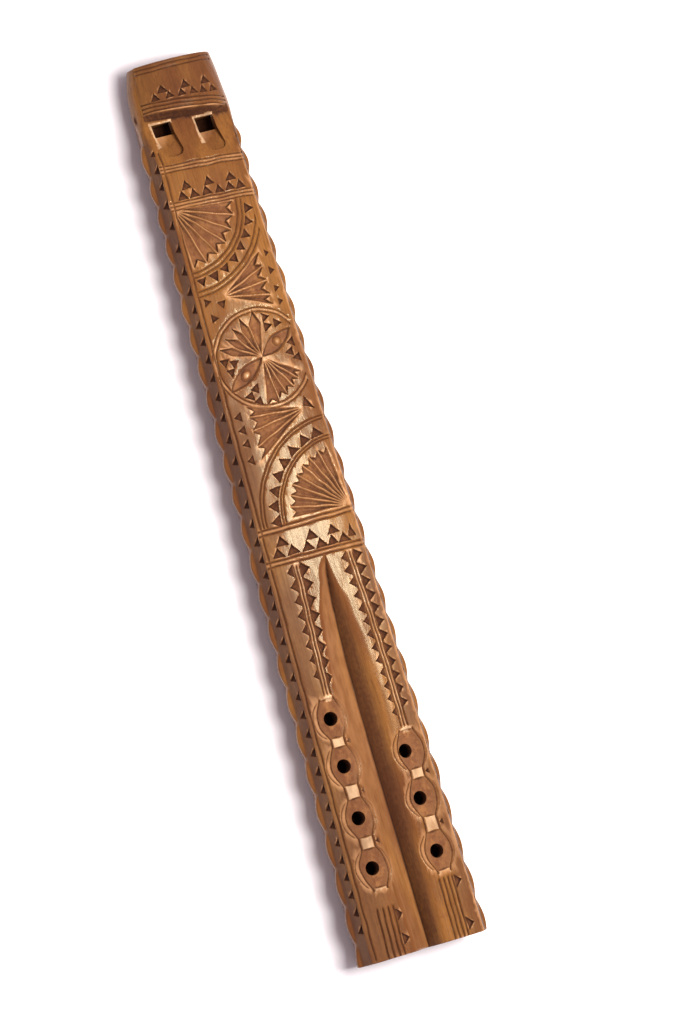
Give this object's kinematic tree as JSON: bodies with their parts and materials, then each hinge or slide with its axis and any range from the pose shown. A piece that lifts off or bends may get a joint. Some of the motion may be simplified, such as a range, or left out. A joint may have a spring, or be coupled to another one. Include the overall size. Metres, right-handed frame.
{
  "type": "double_flute",
  "caption": "Carved wooden double duct flute: twin bores side by side in one flat block, each with a plugged windway, a window and finger holes, parted by a forked channel.",
  "frame": {"origin": "on the flat back, under the middle of the bounding box", "axes": "+Y along the flute towards the blowing end, +Z out of the carved face, +X to the right looking down on the face with the blowing end away"},
  "size_m": [0.0536, 0.35, 0.0224],
  "materials": {
    "carved_wood": "oiled and polished by handling, darker in the cuts",
    "block_wood": "oiled, matt end grain"
  },
  "bodies": {
    "root": {"body": "carved_wood", "left_block": "block_wood", "right_block": "block_wood"}
  },
  "joints": []
}
